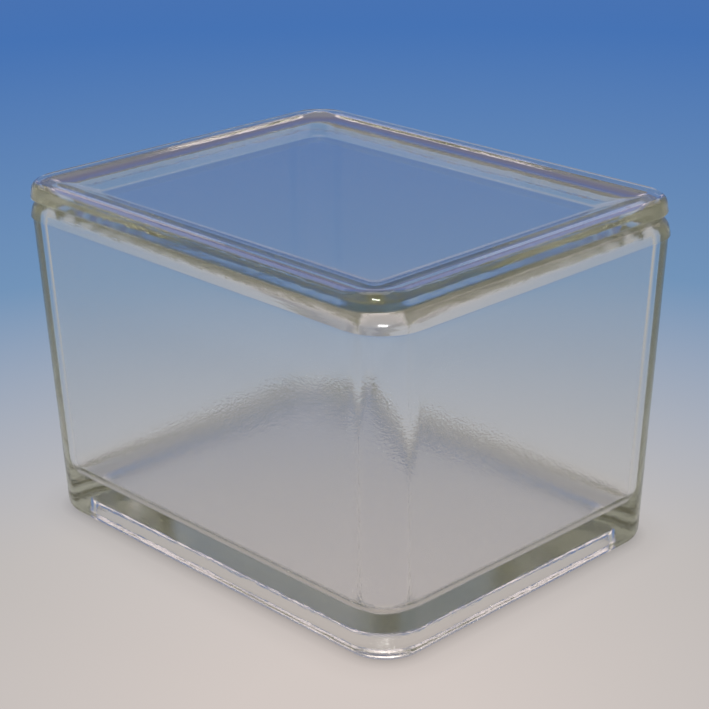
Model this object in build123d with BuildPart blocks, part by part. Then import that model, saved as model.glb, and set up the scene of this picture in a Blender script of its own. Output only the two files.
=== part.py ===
from build123d import *
from math import radians, tan
import os

# Slide staining jar: a rectangular pressed-glass dish with a loose glass cover.
# Millimetres. The dish stands on its foot ring at Z = 0, centred on the origin,
# with its long sides along X. Both pieces are pressed in a mould, so every
# side face is drafted and every edge is rounded.

# --- dish: walls ------------------------------------------------------------
dish_length = 104.0  # outside the walls, just under the rim
dish_width = 82.5
dish_height = 68.1  # foot to rim
wall = 4.0
draft_angle = 2.0  # degrees, walls open upwards
corner_radius = 8.8  # outside vertical corners
mouth_rounding = 0.5

# --- dish: rim bead ---------------------------------------------------------
rim_height = 4.0
rim_overhang = 0.4  # how far the bead stands out of the wall
rim_land = 0.3  # flat on top of the rim, which the cover rests on
rim_underside_chamfer = 0.3

# --- dish: base -------------------------------------------------------------
floor_thickness = 5.2
foot_width = 7.0
foot_depth = 3.1
foot_draft = 15.0  # degrees
foot_corner_radius = 5.0
foot_edge_rounding = 0.7
foot_root_fillet = 1.2
base_rounding = 2.1
floor_fillet = 3.0

# --- cover: edge ------------------------------------------------------------
cover_edge_thickness = 3.5
cover_edge_draft = 10.0  # degrees
cover_corner_radius = 8.6
cover_edge_rounding = 1.7
cover_lip_rounding = 0.5
cover_setback = 1.3  # from the rim to the cover at each end, along X
cover_overlap = 0.5  # of the cover past the rim at each side, along Y

# --- cover: recess in its top -----------------------------------------------
border_width = 4.4  # flat border round the recess
recess_depth = 2.65
recess_slope = 20.5  # degrees from the horizontal
recess_corner_radius = 1.6
recess_edge_rounding = 1.0
recess_floor_fillet = 1.6

# --- cover: register under it, which keeps the cover on the dish ------------
cover_glass = 3.35  # thickness of the pan, recess floor to register
register_play_length = 2.4  # from the mouth of the dish, along X
register_play_width = 0.7  # from the mouth of the dish, along Y
register_slope = 26.0  # degrees from the horizontal
register_corner_radius = 4.0
register_root_fillet = 2.0
register_edge_rounding = 2.0

# --- sizes that follow ------------------------------------------------------
rim_underside = dish_height - rim_height
rim_length = dish_length + 2 * rim_overhang
rim_width = dish_width + 2 * rim_overhang
floor_level = foot_depth + floor_thickness
inner_corner_radius = corner_radius - wall

base_narrowing = rim_underside * tan(radians(draft_angle))
base_length = dish_length - 2 * base_narrowing
base_width = dish_width - 2 * base_narrowing

foot_recess_length = base_length - 2 * foot_width
foot_recess_width = base_width - 2 * foot_width

mouth_widening = rim_height * tan(radians(draft_angle))
mouth_length = dish_length - 2 * wall + 2 * mouth_widening
mouth_width = dish_width - 2 * wall + 2 * mouth_widening
rim_rounding = (rim_length - mouth_length) / 2 - rim_land - mouth_rounding

cover_length = rim_length - 2 * cover_setback
cover_width = rim_width + 2 * cover_overlap
cover_top = dish_height + cover_edge_thickness
cover_edge_run = cover_edge_thickness * tan(radians(cover_edge_draft))

recess_inset = cover_edge_run + border_width
recess_length = cover_length - 2 * recess_inset
recess_width = cover_width - 2 * recess_inset
recess_run = recess_depth / tan(radians(recess_slope))

register_depth = recess_depth + cover_glass - cover_edge_thickness
register_length = mouth_length - 2 * register_play_length
register_width = mouth_width - 2 * register_play_width
register_run = register_depth / tan(radians(register_slope))

# --- dish -------------------------------------------------------------------
# The plunger that presses the well: drafted, with rounded corners and end.
with BuildPart() as plunger:
    with BuildSketch(Plane.XY.offset(dish_height)):
        Rectangle(mouth_length, mouth_width)
    extrude(amount=floor_level - dish_height)
    plunger_sides = plunger.faces().filter_by(Axis.Z, reverse=True)
    draft(plunger_sides, Plane.XY.offset(dish_height), -draft_angle)
    fillet(plunger.edges().group_by(Axis.Z)[1], inner_corner_radius)
    fillet(plunger.edges().group_by(Axis.Z)[0], floor_fillet)

with BuildPart() as dish:
    # The body, drawn at its widest and drafted so that it narrows to the foot.
    with BuildSketch(Plane.XY.offset(rim_underside)):
        Rectangle(dish_length, dish_width)
    extrude(amount=-rim_underside)
    body_sides = dish.faces().filter_by(Axis.Z, reverse=True)
    draft(body_sides, Plane.XY.offset(rim_underside), -draft_angle)
    fillet(dish.edges().group_by(Axis.Z)[1], corner_radius)
    fillet(dish.edges().group_by(Axis.Z)[0], base_rounding)

    # The rim bead.
    with BuildSketch(Plane.XY.offset(rim_underside)):
        RectangleRounded(rim_length, rim_width, corner_radius + rim_overhang)
    extrude(amount=rim_height)
    fillet(dish.edges().group_by(Axis.Z)[-1], rim_rounding)
    bead_underside = dish.faces().filter_by(Axis.Z).sort_by(Axis.Z)[1]
    chamfer(bead_underside.outer_wire().edges(), rim_underside_chamfer)

    # The well, open at the mouth.
    add(plunger.part, mode=Mode.SUBTRACT)
    rim_top = dish.faces().sort_by(Axis.Z)[-1]
    fillet(rim_top.inner_wires().edges(), mouth_rounding)

    # The foot ring, left standing round a shallow recess.
    with BuildSketch(Plane.XY):
        RectangleRounded(foot_recess_length, foot_recess_width, foot_corner_radius)
    extrude(amount=foot_depth, taper=foot_draft, mode=Mode.SUBTRACT)
    fillet(dish.edges(Select.LAST).group_by(Axis.Z)[-1], foot_root_fillet)
    foot_face = dish.faces().sort_by(Axis.Z)[0]
    fillet(foot_face.inner_wires().edges(), foot_edge_rounding)

# --- cover ------------------------------------------------------------------
with BuildPart() as cover:
    # The edge, drafted inwards to the top.
    with BuildSketch(Plane.XY.offset(dish_height)):
        RectangleRounded(cover_length, cover_width, cover_corner_radius)
    extrude(amount=cover_edge_thickness, taper=cover_edge_draft)
    fillet(cover.edges().group_by(Axis.Z)[-1], cover_edge_rounding)

    # The register, which drops into the mouth of the dish.
    with BuildSketch(Plane.XY.offset(dish_height)):
        RectangleRounded(register_length, register_width, register_corner_radius)
    with BuildSketch(Plane.XY.offset(dish_height - register_depth)):
        RectangleRounded(
            register_length - 2 * register_run,
            register_width - 2 * register_run,
            register_corner_radius,
        )
    loft()
    fillet(cover.edges().group_by(Axis.Z)[0], register_edge_rounding)
    underside = cover.faces().filter_by(Axis.Z).sort_by(Axis.Z)[1]
    fillet(underside.inner_wires().edges(), register_root_fillet)
    fillet(underside.outer_wire().edges(), cover_lip_rounding)

    # The recess in the top, over the register, which leaves a pan of even glass.
    with BuildSketch(Plane.XY.offset(cover_top)):
        RectangleRounded(recess_length, recess_width, recess_corner_radius)
    with BuildSketch(Plane.XY.offset(cover_top - recess_depth)):
        RectangleRounded(
            recess_length - 2 * recess_run,
            recess_width - 2 * recess_run,
            recess_corner_radius,
        )
    loft(mode=Mode.SUBTRACT)
    border = cover.faces().sort_by(Axis.Z)[-1]
    fillet(border.inner_wires().edges(), recess_edge_rounding)
    recess_floor = cover.faces().filter_by(Axis.Z).sort_by(Axis.Z)[-2]
    fillet(recess_floor.edges(), recess_floor_fillet)

dish.part.label = "dish"
cover.part.label = "cover"
os.makedirs("parts", exist_ok=True)
export_step(dish.part, "parts/dish.step")
export_step(cover.part, "parts/cover.step")
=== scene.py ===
import math

import bmesh
import bpy
from bpy.props import FloatProperty, FloatVectorProperty, IntProperty, PointerProperty
from mathutils import Matrix, Vector


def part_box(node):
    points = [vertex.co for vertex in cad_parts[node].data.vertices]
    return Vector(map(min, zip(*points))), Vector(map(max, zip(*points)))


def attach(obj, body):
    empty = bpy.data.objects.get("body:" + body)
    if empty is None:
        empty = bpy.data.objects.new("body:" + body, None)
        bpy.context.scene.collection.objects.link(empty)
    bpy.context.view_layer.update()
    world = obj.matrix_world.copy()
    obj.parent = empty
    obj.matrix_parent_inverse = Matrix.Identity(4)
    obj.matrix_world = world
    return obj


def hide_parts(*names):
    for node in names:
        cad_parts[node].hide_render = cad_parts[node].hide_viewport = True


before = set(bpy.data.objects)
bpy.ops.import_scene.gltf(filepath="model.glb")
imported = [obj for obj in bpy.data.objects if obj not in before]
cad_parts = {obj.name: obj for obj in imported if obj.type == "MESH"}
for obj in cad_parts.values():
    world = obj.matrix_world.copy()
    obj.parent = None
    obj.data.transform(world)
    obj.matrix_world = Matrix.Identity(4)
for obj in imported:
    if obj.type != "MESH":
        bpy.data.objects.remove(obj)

bl_info = {
    "name": "Slide Staining Jar",
    "version": (1, 0, 0),
    "blender": (4, 5, 0),
    "location": "3D View > Sidebar > Staining Jar",
    "description": "A pressed-glass slide staining dish with its loose cover, on a plain studio sweep",
    "category": "Add Mesh",
}

MM = 0.001
CAP_INSET = 1.0 * MM  # border of each end face, which keeps its shading flat
SPREAD = 20 * MM  # between the outlines while they are joined
MERGE = 0.001 * MM  # distance at which doubled points become one
DISH_LOW, DISH_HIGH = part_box("dish")
COVER_LOW, COVER_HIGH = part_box("cover")
HAIR = 0.01 * MM  # by which the cover stays inside its box
WELL_MARGIN = 0.1 * MM  # takes in the well's floor and leaves out the flat of the rim

# Where the dish's skin changes: the heights at which each change begins and is complete.
SOLE_FADE = (13.0 * MM, 9.5 * MM)
FOOT_FADE = (9.0 * MM, 7.0 * MM)
RIM_FADE = (63.0 * MM, 65.0 * MM)
POLISHED_SHARE = 0.2  # of the polished depth that has no pebbles at all
# The cover's marks lie where its skin leaves the level, by the upright part of its normal.
COVER_FADE = (0.995, 0.97)
# Drawn lines run level, so they change slowly along X and Y.
STREAK_STRETCH = (0.15, 0.15, 1.0)
# Light that glass behind glass hands on: with fewer bounces, its folds turn black.
BOUNCES = 128

# The sweep, in metres: a flat floor, a bend and a wall, centred a little in front of the jar.
SWEEP_FLAT = 0.22
SWEEP_BEND = 0.35
SWEEP_TOP = 1.2
SWEEP_SHIFT = 0.08
SWEEP_LENGTH = SWEEP_FLAT + SWEEP_BEND + SWEEP_TOP
SWEEP_DROP = 0.02 * MM  # of the floor under the foot ring
SWEEP_CENTRE = 1.0 * MM  # a radius so small that the bearing there doesn't matter
BEND_STEPS = 18
ROUND_STEPS = 96
# Half the bearing that the blue backdrop takes up behind the jar, and how softly it ends, in degrees.
BACKDROP_HALF = 45
BACKDROP_SOFT = 12
# Tones up the backdrop and up the sides: radius plus height on the sweep, in metres, and screen colour.
FLOOR_TONE = (210, 200, 195)
BACKDROP_TONES = (
    (0.02, FLOOR_TONE),
    (0.09, (195, 190, 188)),
    (0.24, (115, 148, 185)),
    (0.42, (70, 115, 180)),
    (0.80, (95, 110, 160)),
    (1.00, (110, 110, 135)),
    (SWEEP_LENGTH, (150, 150, 150)),
)
SIDE_TONES = (
    (0.02, FLOOR_TONE),
    (0.15, (175, 175, 175)),
    (SWEEP_LENGTH, (165, 160, 160)),
)
WORLD_TONE = (160, 155, 155)
# Painted contact shadow on the bench near the jar, from ambient occlusion: how far each painted shade
# reaches, and how light it stays at its darkest.
PAINTED_CONTACT_SHADES = ((8 * MM, 0.80), (2.5 * MM, 0.76))
CONTACT_SAMPLES = 4
LAMP_TONE = (1.0, 1.0, 1.0)
FILM_WIDTH = 36.0  # millimetres, as the lens is
NEAREST = 10 * MM  # nearest point that the camera draws


# --- settings -----------------------------------------------------------------


def length(name, default_mm, description):
    """A length property, given in millimetres and held in metres."""
    return FloatProperty(
        name=name,
        description=description,
        default=default_mm * MM,
        min=0.0,
        precision=5,
        subtype="DISTANCE",
        unit="LENGTH",
    )


def angle(name, default_degrees, description):
    """An angle property, given in degrees and held in radians."""
    return FloatProperty(
        name=name,
        description=description,
        default=math.radians(default_degrees),
        subtype="ANGLE",
        unit="ROTATION",
    )


def colour(name, default, description):
    """A colour property, in linear values."""
    return FloatVectorProperty(
        name=name,
        description=description,
        default=default,
        size=3,
        min=0.0,
        max=1.0,
        subtype="COLOR",
    )


class DishSizes(bpy.types.PropertyGroup):
    """Sizes of the dish that its box doesn't give."""

    wall: length("Wall", 4.0, "Thickness of the walls")
    draft: angle("Draft", 2.0, "Lean of the walls, which open upwards")
    corner: length("Corner radius", 8.8, "Outside radius of the upright corners")
    rim_height: length("Rim height", 4.0, "Height of the bead round the rim")
    rim_overhang: length("Rim overhang", 0.4, "How far the bead stands out of the wall")
    rim_land: length("Rim land", 0.3, "Flat on top of the rim, which the cover rests on")
    rim_lean: angle("Rim lean", 12.0, "Inward lean of the bead's outer face")
    rim_underside: length("Bead underside", 0.2, "Rounding of the bead's lower edge")
    mouth_rounding: length("Mouth rounding", 0.5, "Rounding of the bead's inner edge")
    floor: length("Floor level", 8.3, "Height of the well's floor above the bench")
    floor_fillet: length("Floor fillet", 3.0, "Fillet between the floor and the walls")
    foot_width: length("Foot width", 7.0, "Width of the foot ring")
    foot_depth: length("Foot depth", 3.1, "Depth of the recess inside the foot ring")
    foot_draft: angle("Foot draft", 15.0, "Lean of the foot ring's inner side")
    foot_corner: length("Foot corner", 5.0, "Corner radius of the recess underneath")
    foot_edge: length("Foot edge", 0.7, "Rounding of the foot ring's inner edge")
    foot_root: length("Foot root", 1.2, "Fillet at the top of the foot ring's inner side")
    base_rounding: length("Base rounding", 2.1, "Rounding of the outer bottom edge")


class CoverSizes(bpy.types.PropertyGroup):
    """Sizes of the cover that its box doesn't give."""

    air: length("Air", 0.02, "Hair of air between the cover and the rim it rests on")
    edge_draft: angle("Edge draft", 10.0, "Lean of the cover's edge")
    corner: length("Corner radius", 8.6, "Radius of the cover's corners")
    edge_rounding: length("Edge rounding", 1.7, "Rounding of the outer top edge")
    lip_rounding: length("Lip rounding", 0.5, "Rounding of the lower edge")
    border: length("Border", 4.4, "Width of the flat border round the recess")
    recess: length("Recess", 2.65, "Depth of the recess in the top")
    recess_slope: angle("Recess slope", 20.5, "Slope of the recess's sides")
    recess_corner: length("Recess corner", 1.6, "Corner radius of the recess")
    recess_edge: length("Recess edge", 1.0, "Rounding of the recess's upper edge")
    recess_fillet: length("Recess fillet", 1.6, "Fillet round the recess's floor")
    play_length: length("Play lengthways", 2.4, "Clearance of the register along X")
    play_width: length("Play sideways", 0.7, "Clearance of the register along Y")
    register_slope: angle("Register slope", 26.0, "Slope of the register's sides")
    register_corner: length("Register corner", 4.0, "Corner radius of the register")
    register_root: length("Register root", 2.0, "Fillet at the register's root")
    register_edge: length("Register edge", 2.0, "Rounding of the register's lower edge")


class GlassLook(bpy.types.PropertyGroup):
    """The glass of both pieces."""

    tint: colour("Tint", (0.83, 0.83, 0.74), "Colour that thick glass turns")
    density: FloatProperty(
        name="Density", description="Strength of the tint, per metre", default=30.0, min=0.0
    )
    ior: FloatProperty(
        name="IOR", description="Refractive index of soda-lime glass", default=1.52
    )
    roughness: FloatProperty(
        name="Roughness", description="Softness of the fire-polished skin", default=0.03
    )
    well_roughness: FloatProperty(
        name="Well roughness", description="Softness of the skin inside the well", default=0.09
    )
    sole_roughness: FloatProperty(
        name="Sole roughness", description="Added softness round the well's floor", default=0.1
    )
    rim_roughness: FloatProperty(
        name="Rim roughness", description="Added softness of the rim's skin", default=0.12
    )
    ripple: length("Ripple", 0.0015, "Height of the slow ripple that pressing leaves")
    ripple_size: length("Ripple size", 6.0, "Distance between the crests of the ripple")
    grain: length("Grain", 0.012, "Height of the fine chill marks")
    grain_size: length("Grain size", 0.5, "Distance between chill marks")
    pebble: length("Pebble", 0.034, "Height of the pebbled skin inside the well")
    pebble_size: length("Pebble size", 0.42, "Distance between pebbles")
    streak: length("Streak", 0.045, "Height of the drawn lines along the foot, rim and cover")
    streak_size: length("Streak size", 0.8, "Distance between the drawn lines")
    polish: length("Polished mouth", 22.0, "Depth below the rim over which the pebbles fade in")
    corner_steps: IntProperty(
        name="Corner steps", description="Facets round each corner", default=32, min=4
    )
    rounding_steps: IntProperty(
        name="Rounding steps", description="Facets across each rounded edge", default=10, min=2
    )


class StudioLook(bpy.types.PropertyGroup):
    """The sweep, the lamps and the camera."""

    azimuth: angle("Azimuth", 46.02, "Camera direction, from -Y towards +X")
    elevation: angle("Elevation", 21.62, "Camera height above the horizon")
    roll: angle("Roll", -0.70, "Tilt of the camera about its own axis")
    distance: length("Distance", 381.5, "From the camera to the point it looks at")
    look_height: length("Look height", 36.3, "Height of the point the camera looks at")
    look_aside: length("Look aside", 1.75, "Sideways shift of that point")
    lamp_azimuth: angle("Lamp azimuth", 46.0, "Lamp direction, from -Y towards +X")
    lamp_elevation: angle("Lamp elevation", 29.0, "Lamp height above the horizon")
    lamp_distance: length("Lamp distance", 420.0, "From the jar to the lamp")
    lamp_width: length("Lamp width", 120.0, "Width of the lamp's face")
    lamp_height: length("Lamp height", 55.0, "Height of the lamp's face")
    lamp_power: FloatProperty(name="Lamp power", description="In watts", default=1.0)
    softbox_distance: length("Softbox distance", 550.0, "From the jar to the softbox")
    softbox_size: length("Softbox size", 350.0, "Side of the softbox")
    softbox_power: FloatProperty(name="Softbox power", description="In watts", default=0.7)
    softbox_colour: colour("Softbox colour", (1.0, 0.86, 0.84), "Warm tone of the softbox")
    side_azimuth: angle("Side azimuth", 133.0, "Turn of each side light from the camera")
    side_elevation: angle("Side elevation", 46.0, "Height of the side lights above the horizon")
    side_distance: length("Side distance", 450.0, "From the jar to each side light")
    side_width: length("Side width", 300.0, "Width of each side light")
    side_height: length("Side height", 200.0, "Height of each side light")
    side_power: FloatProperty(name="Side power", description="In watts, each", default=0.16)
    side_colour: colour("Side colour", (1.0, 0.84, 0.82), "Pink tone of the side lights")
    lens: FloatProperty(name="Lens", description="Focal length in millimetres", default=96.26)


# --- shared modelling -----------------------------------------------------------


class Station:
    """One rounded rectangle of a pressing: its size, corner, height and edge rounding."""

    def __init__(self, length, width, corner, height, rounding=0.0):
        self.length = length
        self.width = width
        self.corner = corner
        self.height = height
        self.rounding = rounding


def outline(bm, station, height, corner_steps):
    """The station's edges at a height, made from a plate with its corners rounded."""
    plate = bmesh.ops.create_grid(bm, x_segments=1, y_segments=1, size=0.5)["verts"]
    bmesh.ops.scale(bm, vec=(station.length, station.width, 1.0), verts=plate)
    bmesh.ops.translate(bm, vec=(0.0, 0.0, height), verts=plate)
    bmesh.ops.bevel(
        bm,
        geom=plate,
        offset=station.corner,
        offset_type="OFFSET",
        segments=corner_steps,
        profile=0.5,
        affect="VERTICES",
        material=-1,
    )
    face = bm.faces[:][0]
    edges = list(face.edges)
    bmesh.ops.delete(bm, geom=[face], context="FACES_ONLY")
    return edges


def turn(before, here, after):
    """The angle that a pressing's section turns through at one station."""
    arriving = Vector((here.length - before.length, 2 * (here.height - before.height)))
    leaving = Vector((after.length - here.length, 2 * (after.height - here.height)))
    return arriving.angle(leaving)


def pressing(name, stations, look):
    """A closed glass body that skins its stations in turn, with both ends capped."""
    bm = bmesh.new()
    # The outlines are stacked well apart to be joined, and then set to their heights.
    rings = [outline(bm, s, i * SPREAD, look.corner_steps) for i, s in enumerate(stations)]
    for ring, following in zip(rings, rings[1:]):
        bmesh.ops.bridge_loops(bm, edges=ring + following)
    for index, (ring, station) in enumerate(zip(rings, stations)):
        points = list({vert for edge in ring for vert in edge.verts})
        lift = (0.0, 0.0, station.height - index * SPREAD)
        bmesh.ops.translate(bm, vec=lift, verts=points)
    for end in (rings[0], rings[-1]):
        bmesh.ops.edgeloop_fill(bm, edges=end)
    first_centre = Station(0.0, 0.0, 0.0, stations[0].height)
    last_centre = Station(0.0, 0.0, 0.0, stations[-1].height)
    before = [first_centre, *stations[:-1]]
    after = [*stations[1:], last_centre]
    for ring, previous, station, following in zip(rings, before, stations, after):
        if station.rounding == 0.0:
            continue
        bend = turn(previous, station, following)
        bmesh.ops.bevel(
            bm,
            geom=ring,
            offset=station.rounding * math.tan(bend / 2),
            offset_type="OFFSET",
            segments=look.rounding_steps,
            profile=0.5,
            affect="EDGES",
            material=-1,
            clamp_overlap=False,
        )
    caps = [face for face in bm.faces if len(face.verts) > 4]
    bmesh.ops.inset_individual(bm, faces=caps, thickness=CAP_INSET, use_even_offset=True)
    bmesh.ops.recalc_face_normals(bm, faces=bm.faces)
    mesh = bpy.data.meshes.new(name)
    bm.to_mesh(mesh)
    bm.free()
    mesh.shade_smooth()
    body = bpy.data.objects.new(name, mesh)
    bpy.context.collection.objects.link(body)
    weighted = body.modifiers.new("Even shading", "WEIGHTED_NORMAL")
    weighted.mode = "FACE_AREA"
    weighted.weight = 100
    return body


def mark_well(body, half_length, half_width, floor, mouth):
    """Marks the faces inside the well, for the glass to roughen."""
    mark = body.data.attributes.new("well", "FLOAT", "FACE")
    for polygon in body.data.polygons:
        x, y, z = polygon.center
        inside = abs(x) < half_length and abs(y) < half_width
        mark.data[polygon.index].value = 1.0 if inside and floor < z < mouth else 0.0


# --- materials ------------------------------------------------------------------


class Nodes:
    """A short way to write a node tree."""

    def __init__(self, name):
        self.material = bpy.data.materials.new(name)
        self.material.use_nodes = True
        self.tree = self.material.node_tree
        self.tree.nodes.clear()

    def add(self, kind, **settings):
        """A new node with the given settings."""
        node = self.tree.nodes.new(kind)
        for key, value in settings.items():
            setattr(node, key, value)
        return node

    def link(self, source, target):
        """A wire from an output to an input."""
        self.tree.links.new(source, target)

    def math(self, operation, first, second=None, third=None):
        """The result of a Math node on numbers or other nodes' outputs."""
        node = self.add("ShaderNodeMath", operation=operation)
        for socket, value in zip(node.inputs, (first, second, third)):
            if value is None:
                continue
            if isinstance(value, (int, float)):
                socket.default_value = value
            else:
                self.link(value, socket)
        return node.outputs["Value"]

    def height(self, vector):
        """The upright part of a vector."""
        axes = self.add("ShaderNodeSeparateXYZ")
        self.link(vector, axes.inputs["Vector"])
        return axes.outputs["Z"]

    def fade(self, value, start, end):
        """Rises from 0 at start to 1 at end."""
        node = self.add("ShaderNodeMapRange")
        self.link(value, node.inputs["Value"])
        node.inputs["From Min"].default_value = start
        node.inputs["From Max"].default_value = end
        return node.outputs["Result"]

    def noise(self, vector, size, detail=1.0):
        """Smooth random marks, about one size apart."""
        node = self.add("ShaderNodeTexNoise")
        self.link(vector, node.inputs["Vector"])
        node.inputs["Scale"].default_value = 1.0 / size
        node.inputs["Detail"].default_value = detail
        return node.outputs["Fac"]


def glass(name, look, well=False):
    """Clear pressed glass. Inside a well the skin is coarser, as the plunger leaves it."""
    n = Nodes(name)
    place = n.add("ShaderNodeTexCoord").outputs["Object"]
    shader = n.add("ShaderNodeBsdfPrincipled")
    shader.inputs["Base Color"].default_value = (1.0, 1.0, 1.0, 1.0)
    shader.inputs["Roughness"].default_value = look.roughness
    shader.inputs["IOR"].default_value = look.ior
    shader.inputs["Transmission Weight"].default_value = 1.0
    relief = n.math("MULTIPLY", n.noise(place, look.ripple_size), look.ripple)
    grain = n.math("MULTIPLY", n.noise(place, look.grain_size), look.grain)
    drawn = n.add("ShaderNodeVectorMath", operation="MULTIPLY")
    n.link(place, drawn.inputs[0])
    drawn.inputs[1].default_value = STREAK_STRETCH
    lines = n.noise(drawn.outputs["Vector"], look.streak_size, detail=2.0)
    streaks = n.math("MULTIPLY", lines, look.streak)
    if well:
        rise = n.height(place)
        inside = n.add("ShaderNodeAttribute", attribute_name="well").outputs["Fac"]
        polished = DISH_HIGH.z - POLISHED_SHARE * look.polish
        skin = n.math("MULTIPLY", inside, n.fade(rise, polished, DISH_HIGH.z - look.polish))
        depth = n.math("MULTIPLY", skin, look.pebble)
        pebbles = n.math("MULTIPLY", n.noise(place, look.pebble_size), depth)
        relief = n.math("ADD", relief, pebbles)
        added = look.well_roughness - look.roughness
        rough = n.math("MULTIPLY_ADD", skin, added, look.roughness)
        sole = n.math("MULTIPLY", inside, n.fade(rise, *SOLE_FADE))
        rough = n.math("MULTIPLY_ADD", sole, look.sole_roughness, rough)
        rim = n.fade(rise, *RIM_FADE)
        rough = n.math("MULTIPLY_ADD", rim, look.rim_roughness, rough)
        n.link(rough, shader.inputs["Roughness"])
        edges = n.math("ADD", n.fade(rise, *FOOT_FADE), rim)
    else:
        normal = n.add("ShaderNodeNewGeometry").outputs["Normal"]
        edges = n.fade(n.math("ABSOLUTE", n.height(normal)), *COVER_FADE)
    marks = n.math("MULTIPLY", n.math("ADD", grain, streaks), edges)
    bump = n.add("ShaderNodeBump")
    bump.inputs["Distance"].default_value = 1.0
    n.link(n.math("ADD", relief, marks), bump.inputs["Height"])
    n.link(bump.outputs["Normal"], shader.inputs["Normal"])
    tint = n.add("ShaderNodeVolumeAbsorption")
    tint.inputs["Color"].default_value = (*look.tint, 1.0)
    tint.inputs["Density"].default_value = look.density
    output = n.add("ShaderNodeOutputMaterial")
    n.link(shader.outputs["BSDF"], output.inputs["Surface"])
    n.link(tint.outputs["Volume"], output.inputs["Volume"])
    return n.material


def linear(red, green, blue):
    """A screen colour, 0 to 255, as Blender's linear values."""
    return [
        c / 255 / 12.92 if c <= 10 else ((c / 255 + 0.055) / 1.055) ** 2.4
        for c in (red, green, blue)
    ]


def painted_contact_shadow(n, reach, darkest):
    """Painted contact shadow: how light the bench's colour stays near the jar, 1 in the open, darkest
    right under it.
    """
    node = n.add("ShaderNodeAmbientOcclusion", samples=CONTACT_SAMPLES)
    node.inputs["Distance"].default_value = reach
    return n.math("MULTIPLY_ADD", node.outputs["AO"], 1.0 - darkest, darkest)


def sweep_centre(look):
    """The middle of the sweep's floor, a little towards the camera."""
    return Vector((math.sin(look.azimuth), -math.cos(look.azimuth), 0.0)) * SWEEP_SHIFT


def sweep_material(look):
    """Pale floor that grades to blue up the sweep behind, and to grey at the sides, with a painted
    contact shadow near the jar.
    """
    n = Nodes("studio_sweep")
    position = n.add("ShaderNodeNewGeometry").outputs["Position"]
    axes = n.add("ShaderNodeSeparateXYZ")
    n.link(position, axes.inputs[0])
    centre = sweep_centre(look)
    x = n.math("SUBTRACT", axes.outputs["X"], centre.x)
    y = n.math("SUBTRACT", axes.outputs["Y"], centre.y)
    radius = n.math("SQRT", n.math("ADD", n.math("MULTIPLY", x, x), n.math("MULTIPLY", y, y)))
    along = n.math("DIVIDE", n.math("ADD", radius, axes.outputs["Z"]), SWEEP_LENGTH)
    backdrop = ramp(n, along, BACKDROP_TONES)
    sides = ramp(n, along, SIDE_TONES)
    # How squarely the point lies behind the jar, as the cosine of its bearing.
    behind = Vector((-math.sin(look.azimuth), math.cos(look.azimuth)))
    dot = n.math("ADD", n.math("MULTIPLY", x, behind.x), n.math("MULTIPLY", y, behind.y))
    facing = n.add("ShaderNodeMapRange", interpolation_type="SMOOTHSTEP")
    bearing = n.math("DIVIDE", dot, n.math("ADD", radius, SWEEP_CENTRE))
    n.link(bearing, facing.inputs["Value"])
    outer, inner = BACKDROP_HALF + BACKDROP_SOFT, BACKDROP_HALF - BACKDROP_SOFT
    facing.inputs["From Min"].default_value = math.cos(math.radians(outer))
    facing.inputs["From Max"].default_value = math.cos(math.radians(inner))
    both = n.add("ShaderNodeMix", data_type="RGBA")
    n.link(facing.outputs["Result"], both.inputs["Factor"])
    n.link(sides, both.inputs["A"])
    n.link(backdrop, both.inputs["B"])
    # Painted contact shadow: two ambient-occlusion terms darken the colour that the floor shows near
    # the jar.
    wide, narrow = PAINTED_CONTACT_SHADES
    shade = n.math("MULTIPLY", painted_contact_shadow(n, *wide), painted_contact_shadow(n, *narrow))
    dimmed = n.add("ShaderNodeVectorMath", operation="SCALE")
    n.link(both.outputs["Result"], dimmed.inputs[0])
    n.link(shade, dimmed.inputs["Scale"])
    lit = n.add("ShaderNodeEmission")
    n.link(dimmed.outputs["Vector"], lit.inputs["Color"])
    matt = n.add("ShaderNodeBsdfDiffuse")
    n.link(both.outputs["Result"], matt.inputs["Color"])
    path = n.add("ShaderNodeLightPath")
    seen = n.math("MAXIMUM", path.outputs["Is Camera Ray"], path.outputs["Is Glossy Ray"])
    seen = n.math("MAXIMUM", seen, path.outputs["Is Transmission Ray"])
    mix = n.add("ShaderNodeMixShader")
    n.link(seen, mix.inputs["Fac"])
    n.link(matt.outputs["BSDF"], mix.inputs[1])
    n.link(lit.outputs["Emission"], mix.inputs[2])
    output = n.add("ShaderNodeOutputMaterial")
    n.link(mix.outputs["Shader"], output.inputs["Surface"])
    n.material.cycles.emission_sampling = "NONE"
    return n.material


def ramp(n, value, tones):
    """A colour ramp through the given tones, from the middle of the sweep to its top edge."""
    node = n.add("ShaderNodeValToRGB")
    n.link(value, node.inputs["Fac"])
    elements = node.color_ramp.elements
    elements.remove(elements[-1])
    for index, (place, shade) in enumerate(tones):
        share = place / SWEEP_LENGTH
        element = elements[0] if index == 0 else elements.new(share)
        element.position = share
        element.color = (*linear(*shade), 1.0)
    return node.outputs["Color"]


# --- operators ------------------------------------------------------------------


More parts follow.
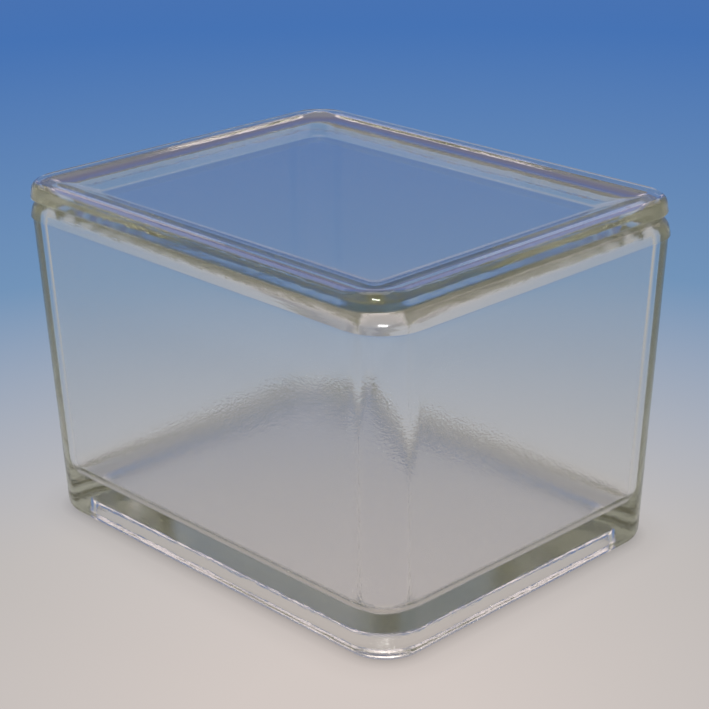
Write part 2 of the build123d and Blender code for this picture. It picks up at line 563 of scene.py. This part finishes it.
class JAR_OT_dish(bpy.types.Operator):
    """Model the pressed-glass dish and let it stand for its plain solid"""

    bl_idname = "jar.dish"
    bl_label = "Dish"

    def execute(self, context):
        s = context.scene.jar_dish
        look = context.scene.jar_glass
        size = DISH_HIGH - DISH_LOW
        rim_length, rim_width, height = size
        body_length = rim_length - 2 * s.rim_overhang
        body_width = rim_width - 2 * s.rim_overhang
        shoulder = height - s.rim_height
        slope = math.tan(s.draft)
        narrow = 2 * shoulder * slope
        base_length, base_width = body_length - narrow, body_width - narrow
        inner_corner = s.corner - s.wall
        mouth_length = body_length - 2 * s.wall + 2 * s.rim_height * slope
        mouth_width = body_width - 2 * s.wall + 2 * s.rim_height * slope
        set_back = s.rim_height * math.tan(s.rim_lean)
        shelf = (rim_length - mouth_length) / 2 - set_back - s.rim_land - s.mouth_rounding
        rim_rounding = shelf / math.tan(math.pi / 4 - s.rim_lean / 2)
        deep = 2 * (height - s.floor) * slope
        foot_length = base_length - 2 * s.foot_width
        foot_width = base_width - 2 * s.foot_width
        lean = 2 * s.foot_depth * math.tan(s.foot_draft)
        roof_corner = s.foot_corner - lean / 2
        stations = [
            Station(foot_length - lean, foot_width - lean, roof_corner, s.foot_depth, s.foot_root),
            Station(foot_length, foot_width, s.foot_corner, 0.0, s.foot_edge),
            Station(base_length, base_width, s.corner, 0.0, s.base_rounding),
            Station(body_length, body_width, s.corner, shoulder, s.rim_underside / 2),
            Station(rim_length, rim_width, s.corner + s.rim_overhang, shoulder, s.rim_underside),
            Station(
                rim_length - 2 * set_back,
                rim_width - 2 * set_back,
                s.corner + s.rim_overhang - set_back,
                height,
                rim_rounding,
            ),
            Station(mouth_length, mouth_width, inner_corner, height, s.mouth_rounding),
            Station(mouth_length - deep, mouth_width - deep, inner_corner, s.floor, s.floor_fillet),
        ]
        dish = pressing("glass_dish", stations, look)
        reach = Vector((body_length / 2, body_width / 2)) - Vector((s.wall, s.wall)) / 2
        mark_well(dish, reach.x, reach.y, s.floor - WELL_MARGIN, height - WELL_MARGIN)
        dish.data.materials.append(glass("dish_glass", look, well=True))
        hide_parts("dish")
        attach(dish, "root")
        return {"FINISHED"}


class JAR_OT_cover(bpy.types.Operator):
    """Model the loose glass cover and let it stand for its plain solid"""

    bl_idname = "jar.cover"
    bl_label = "Cover"

    def execute(self, context):
        s = context.scene.jar_cover
        dish = context.scene.jar_dish
        look = context.scene.jar_glass
        seat = DISH_HIGH.z + s.air
        top = COVER_HIGH.z
        bottom = COVER_LOW.z
        thick = top - seat
        lean = thick * math.tan(s.edge_draft)
        # The box is that of the rounded lip; the sharp lip lies a little further out.
        swell = s.lip_rounding * (1 / math.tan(math.pi / 4 - s.edge_draft / 2) - 1)
        cover_length = COVER_HIGH.x - COVER_LOW.x + 2 * swell - HAIR
        cover_width = COVER_HIGH.y - COVER_LOW.y + 2 * swell - HAIR
        inset = 2 * (lean + s.border)
        run = 2 * s.recess / math.tan(s.recess_slope)
        slope = math.tan(dish.draft)
        mouth = 2 * (dish.rim_height * slope - dish.wall - dish.rim_overhang)
        root_length = DISH_HIGH.x - DISH_LOW.x + mouth - 2 * s.play_length
        root_width = DISH_HIGH.y - DISH_LOW.y + mouth - 2 * s.play_width
        drop = 2 * (seat - bottom) / math.tan(s.register_slope)
        stations = [
            Station(root_length - drop, root_width - drop, s.register_corner, bottom, s.register_edge),
            Station(root_length, root_width, s.register_corner, seat, s.register_root),
            Station(cover_length, cover_width, s.corner, seat, s.lip_rounding),
            Station(
                cover_length - 2 * lean,
                cover_width - 2 * lean,
                s.corner - lean,
                top,
                s.edge_rounding,
            ),
            Station(cover_length - inset, cover_width - inset, s.recess_corner, top, s.recess_edge),
            Station(
                cover_length - inset - run,
                cover_width - inset - run,
                s.recess_corner,
                top - s.recess,
                s.recess_fillet,
            ),
        ]
        cover = pressing("glass_cover", stations, look)
        cover.data.materials.append(glass("cover_glass", look))
        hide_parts("cover")
        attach(cover, "root")
        return {"FINISHED"}


class JAR_OT_stage(bpy.types.Operator):
    """Lay the sweep, set the lamps and the world, and aim the camera"""

    bl_idname = "jar.stage"
    bl_label = "Studio"

    def execute(self, context):
        look = context.scene.jar_studio
        lay_sweep(look)
        light_world()
        hang_lights(look)
        aim_camera(context.scene, look)
        context.scene.view_settings.view_transform = "Standard"
        context.scene.cycles.max_bounces = BOUNCES
        context.scene.cycles.transmission_bounces = BOUNCES
        context.scene.cycles.glossy_bounces = BOUNCES
        context.scene.cycles.use_light_tree = False
        return {"FINISHED"}


def lay_sweep(look):
    """A round floor that curves up into a wall, spun from its section."""
    bm = bmesh.new()
    verts = [bm.verts.new((0.0, 0.0, 0.0)), bm.verts.new((SWEEP_FLAT, 0.0, 0.0))]
    bm.edges.new(verts)
    bend = bmesh.ops.spin(
        bm,
        geom=[verts[-1]],
        cent=(SWEEP_FLAT, 0.0, SWEEP_BEND),
        axis=(0.0, -1.0, 0.0),
        angle=math.pi / 2,
        steps=BEND_STEPS,
    )["geom_last"]
    end = [item for item in bend if isinstance(item, bmesh.types.BMVert)]
    wall = bmesh.ops.extrude_vert_indiv(bm, verts=end)["verts"]
    bmesh.ops.translate(bm, vec=(0.0, 0.0, SWEEP_TOP - SWEEP_BEND), verts=wall)
    bmesh.ops.spin(
        bm,
        geom=bm.verts[:] + bm.edges[:],
        cent=(0.0, 0.0, 0.0),
        axis=(0.0, 0.0, 1.0),
        angle=2 * math.pi,
        steps=ROUND_STEPS,
        use_merge=True,
    )
    bmesh.ops.remove_doubles(bm, verts=bm.verts, dist=MERGE)
    bmesh.ops.recalc_face_normals(bm, faces=bm.faces)
    bmesh.ops.reverse_faces(bm, faces=bm.faces)
    shift = sweep_centre(look) - Vector((0.0, 0.0, SWEEP_DROP))
    bmesh.ops.translate(bm, vec=shift, verts=bm.verts)
    mesh = bpy.data.meshes.new("sweep")
    bm.to_mesh(mesh)
    bm.free()
    mesh.shade_smooth()
    sweep = bpy.data.objects.new("sweep", mesh)
    bpy.context.collection.objects.link(sweep)
    mesh.materials.append(sweep_material(look))


def light_world():
    """Even grey light from all round."""
    world = bpy.data.worlds.new("studio")
    world.use_nodes = True
    bpy.context.scene.world = world
    background = world.node_tree.nodes["Background"]
    background.inputs["Color"].default_value = (*linear(*WORLD_TONE), 1.0)
    background.inputs["Strength"].default_value = 1.0
    world.cycles.sampling_method = "NONE"


def aim_camera(scene, look):
    """The camera, turned by its three angles about the point it looks at."""
    data = bpy.data.cameras.new("camera")
    data.sensor_width = FILM_WIDTH
    data.lens = look.lens
    data.clip_start = NEAREST
    camera = bpy.data.objects.new("camera", data)
    scene.collection.objects.link(camera)
    aside = Vector((math.cos(look.azimuth), math.sin(look.azimuth), 0.0)) * look.look_aside
    target = aside + Vector((0.0, 0.0, look.look_height))
    turned = (
        Matrix.Rotation(look.azimuth, 4, "Z")
        @ Matrix.Rotation(math.pi / 2 - look.elevation, 4, "X")
        @ Matrix.Rotation(look.roll, 4, "Z")
    )
    away = Matrix.Translation((0.0, 0.0, look.distance))
    camera.matrix_world = Matrix.Translation(target) @ turned @ away
    scene.camera = camera


def hang_light(name, azimuth, elevation, distance, size, power, tone):
    """A rectangular light that faces the jar from a bearing, a height and a distance."""
    data = bpy.data.lights.new(name, "AREA")
    data.shape = "RECTANGLE"
    data.size, data.size_y = size
    data.energy = power
    data.color = tone
    light = bpy.data.objects.new(name, data)
    bpy.context.scene.collection.objects.link(light)
    light.matrix_world = (
        Matrix.Rotation(azimuth, 4, "Z")
        @ Matrix.Rotation(math.pi / 2 - elevation, 4, "X")
        @ Matrix.Translation((0.0, 0.0, distance))
    )


def hang_lights(look):
    """A lamp by the camera for the glints, a softbox overhead and one at each side behind."""
    hang_light(
        "lamp",
        look.lamp_azimuth,
        look.lamp_elevation,
        look.lamp_distance,
        (look.lamp_width, look.lamp_height),
        look.lamp_power,
        LAMP_TONE,
    )
    hang_light(
        "softbox",
        look.azimuth,
        math.pi / 2,
        look.softbox_distance,
        (look.softbox_size, look.softbox_size),
        look.softbox_power,
        look.softbox_colour,
    )
    for name, turned in (("side_left", -look.side_azimuth), ("side_right", look.side_azimuth)):
        hang_light(
            name,
            look.azimuth + turned,
            look.side_elevation,
            look.side_distance,
            (look.side_width, look.side_height),
            look.side_power,
            look.side_colour,
        )


class JAR_PT_panel(bpy.types.Panel):
    """Lists the pieces"""

    bl_idname = "JAR_PT_panel"
    bl_label = "Slide Staining Jar"
    bl_space_type = "VIEW_3D"
    bl_region_type = "UI"
    bl_category = "Staining Jar"

    def draw(self, context):
        for operator in OPERATORS:
            self.layout.operator(operator.bl_idname)


OPERATORS = (JAR_OT_dish, JAR_OT_cover, JAR_OT_stage)
GROUPS = {
    "jar_dish": DishSizes,
    "jar_cover": CoverSizes,
    "jar_glass": GlassLook,
    "jar_studio": StudioLook,
}
CLASSES = (*GROUPS.values(), *OPERATORS, JAR_PT_panel)


def register():
    for cls in CLASSES:
        bpy.utils.register_class(cls)
    for name, group in GROUPS.items():
        setattr(bpy.types.Scene, name, PointerProperty(type=group))


def unregister():
    for name in GROUPS:
        delattr(bpy.types.Scene, name)
    for cls in reversed(CLASSES):
        bpy.utils.unregister_class(cls)


def main():
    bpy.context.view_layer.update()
    register()
    bpy.ops.jar.dish()
    bpy.ops.jar.cover()
    bpy.ops.jar.stage()


if __name__ == "__main__":
    main()
